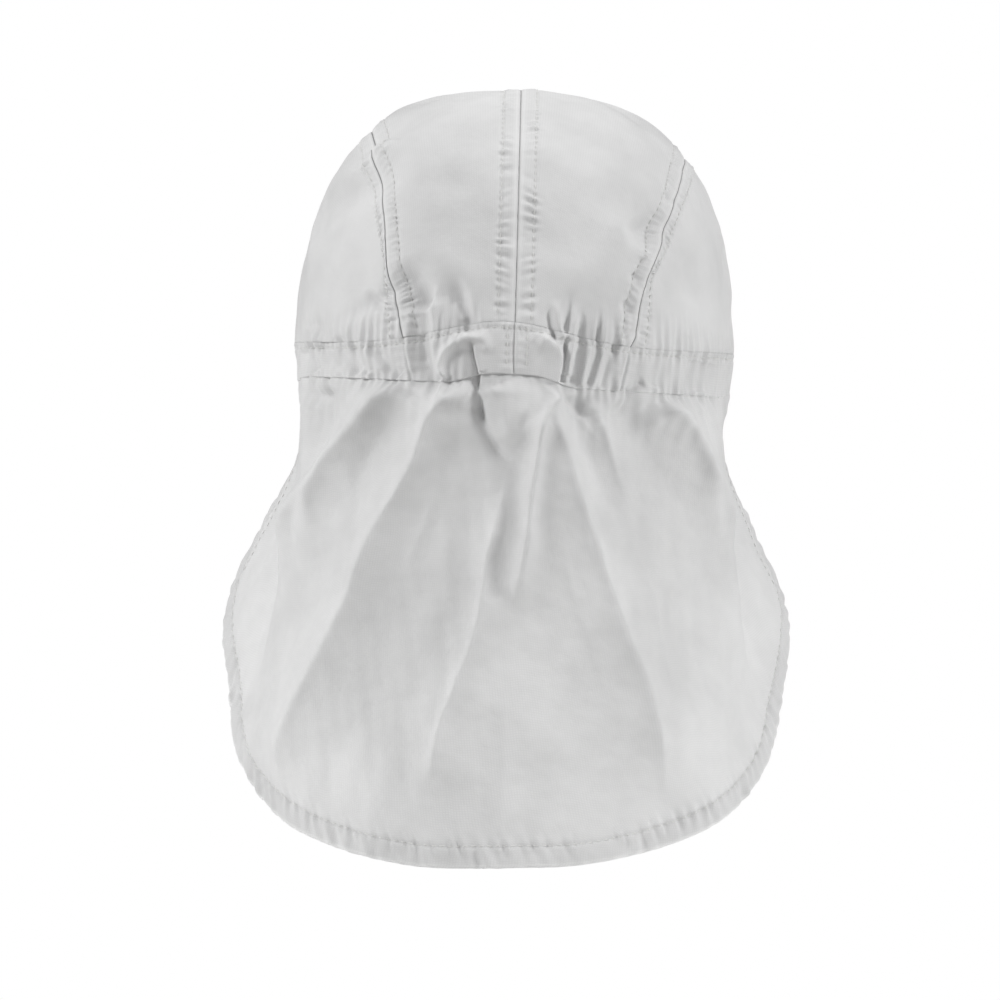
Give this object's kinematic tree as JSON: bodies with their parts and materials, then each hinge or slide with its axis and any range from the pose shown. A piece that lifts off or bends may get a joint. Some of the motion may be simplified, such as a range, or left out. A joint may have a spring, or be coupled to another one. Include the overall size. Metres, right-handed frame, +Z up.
{
  "type": "legionnaire cap",
  "caption": "Soft cotton cap with a dome crown, a gathered elastic casing, a short peak and a flared flap over the neck and ears.",
  "frame": {"origin": "middle of the rim's opening, in the plane of the rim at the sides, where the head goes in", "axes": "+Z up the head to the crown's top, -Y to the front and the peak, +Y to the back and the flap, +X to the wearer's left"},
  "size_m": [0.2142, 0.2622, 0.2881],
  "materials": {
    "crown_cloth": "matte washed white cotton poplin, fine plain weave",
    "casing_cloth": "matte washed white cotton poplin, gathered over elastic",
    "flap_cloth": "matte washed white cotton poplin with a turned hem",
    "peak_cloth": "matte washed white cotton poplin over a soft padded core"
  },
  "bodies": {
    "root": {"back_panel_left": "crown_cloth", "back_panel_right": "crown_cloth", "side_panel_left": "crown_cloth", "side_panel_right": "crown_cloth", "elastic_casing": "casing_cloth", "neck_flap": "flap_cloth", "peak": "peak_cloth"}
  },
  "joints": []
}
